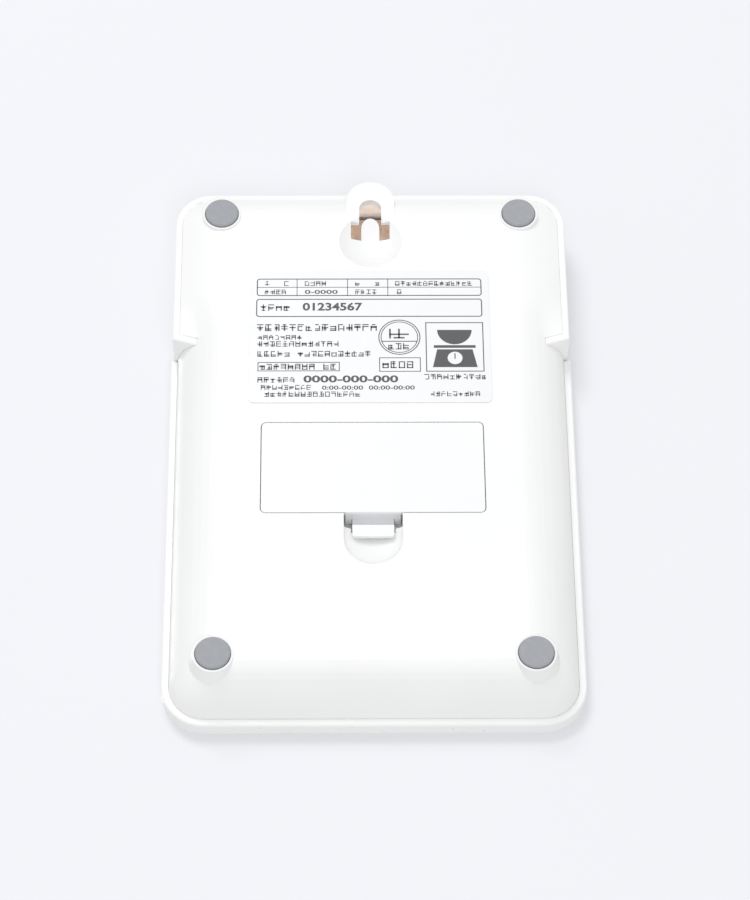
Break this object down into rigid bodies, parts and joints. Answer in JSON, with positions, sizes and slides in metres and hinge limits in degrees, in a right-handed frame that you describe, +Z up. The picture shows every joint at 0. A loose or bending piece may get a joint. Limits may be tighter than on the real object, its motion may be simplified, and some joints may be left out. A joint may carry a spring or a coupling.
{
  "type": "digital kitchen scale",
  "caption": "Compact flat kitchen scale with a square weighing platform, a display end with lens and buttons, hinged battery cover, rubber feet and a hanging tab.",
  "frame": {"origin": "middle of the overall box at the level the feet stand on", "axes": "+Z up from the feet to the platform, -Y towards the display end, +Y towards the platform end, +X to the user's right when facing the display end from -Y"},
  "size_m": [0.1148, 0.1696, 0.021],
  "materials": {
    "case_white": "fine satin moulded ABS",
    "cover_white": "fine satin moulded ABS, slightly cooler",
    "foot_rubber": "matt elastomer",
    "screw_steel": "zinc plated",
    "contact_steel": "nickel plated spring steel",
    "support_steel": "zinc coated sheet",
    "bar_aluminium": "milled",
    "sealant_white": "silicone coating",
    "label_film": "satin printed film",
    "cell_jacket": "shrink sleeve",
    "board_green": "solder mask",
    "chip_black": "moulded",
    "lcd_glass": "reflective display",
    "frame_plastic": "moulded",
    "lens_clear": "clear acrylic with dark border",
    "button_grey": "satin",
    "lead_sheath": "pvc sheath",
    "lead_red": "pvc",
    "lead_black": "pvc"
  },
  "bodies": {
    "base": {"lower_case": "case_white", "display_housing": "case_white", "foot_pad_front_left": "foot_rubber", "foot_pad_front_right": "foot_rubber", "foot_pad_back_left": "foot_rubber", "foot_pad_back_right": "foot_rubber", "case_screw_front_left": "screw_steel", "case_screw_front_right": "screw_steel", "case_screw_back_left": "screw_steel", "case_screw_back_right": "screw_steel", "board_screw_1": "screw_steel", "board_screw_2": "screw_steel", "board_screw_3": "screw_steel", "board_screw_4": "screw_steel", "loadcell_base_screw_1": "screw_steel", "loadcell_base_screw_2": "screw_steel", "contact_bridge": "contact_steel", "contact_positive": "contact_steel", "contact_negative": "contact_steel", "load_cell": "bar_aluminium", "strain_gauge_upper": "sealant_white", "strain_gauge_lower": "sealant_white", "rating_label": "label_film", "battery_cell_1": "cell_jacket", "battery_cell_2": "cell_jacket", "main_board": "board_green", "controller_chip": "chip_black", "power_switch": "chip_black", "tare_switch": "chip_black", "zebra_strip_1": "chip_black", "zebra_strip_2": "chip_black", "lcd_panel": "lcd_glass", "lcd_frame": "frame_plastic", "display_lens": "lens_clear", "loadcell_lead": "lead_sheath", "battery_lead_red": "lead_red", "battery_lead_black": "lead_black"},
    "platform": {"platform": "case_white", "platform_support": "support_steel", "loadcell_support_screw_1": "screw_steel", "loadcell_support_screw_2": "screw_steel"},
    "power_key": {"power_button": "button_grey"},
    "tare_key": {"tare_button": "button_grey"},
    "battery_door": {"battery_cover": "cover_white"},
    "door_latch": {"cover_latch": "cover_white"}
  },
  "joints": [
    {"name": "platform_press", "type": "slide", "parent": "base", "child": "platform", "axis": [0, 0, 1], "range_m": [-0.0004, 0], "stiffness_N_per_m": 30000},
    {"name": "power_press", "type": "slide", "parent": "base", "child": "power_key", "axis": [0, 0, 1], "range_m": [-0.0004, 0], "stiffness_N_per_m": 2500},
    {"name": "tare_press", "type": "slide", "parent": "base", "child": "tare_key", "axis": [0, 0, 1], "range_m": [-0.0004, 0], "stiffness_N_per_m": 2500},
    {"name": "cover_hinge", "type": "hinge", "parent": "base", "child": "battery_door", "pos_m": [0, -0.00185, 0.0013], "axis": [-1, 0, 0], "range_deg": [0, 90]},
    {"name": "latch_flex", "type": "hinge", "parent": "battery_door", "child": "door_latch", "pos_m": [0, 0.0275, 0.006], "axis": [-1, 0, 0], "range_deg": [0, 6], "stiffness_Nm_per_rad": 0.4}
  ]
}
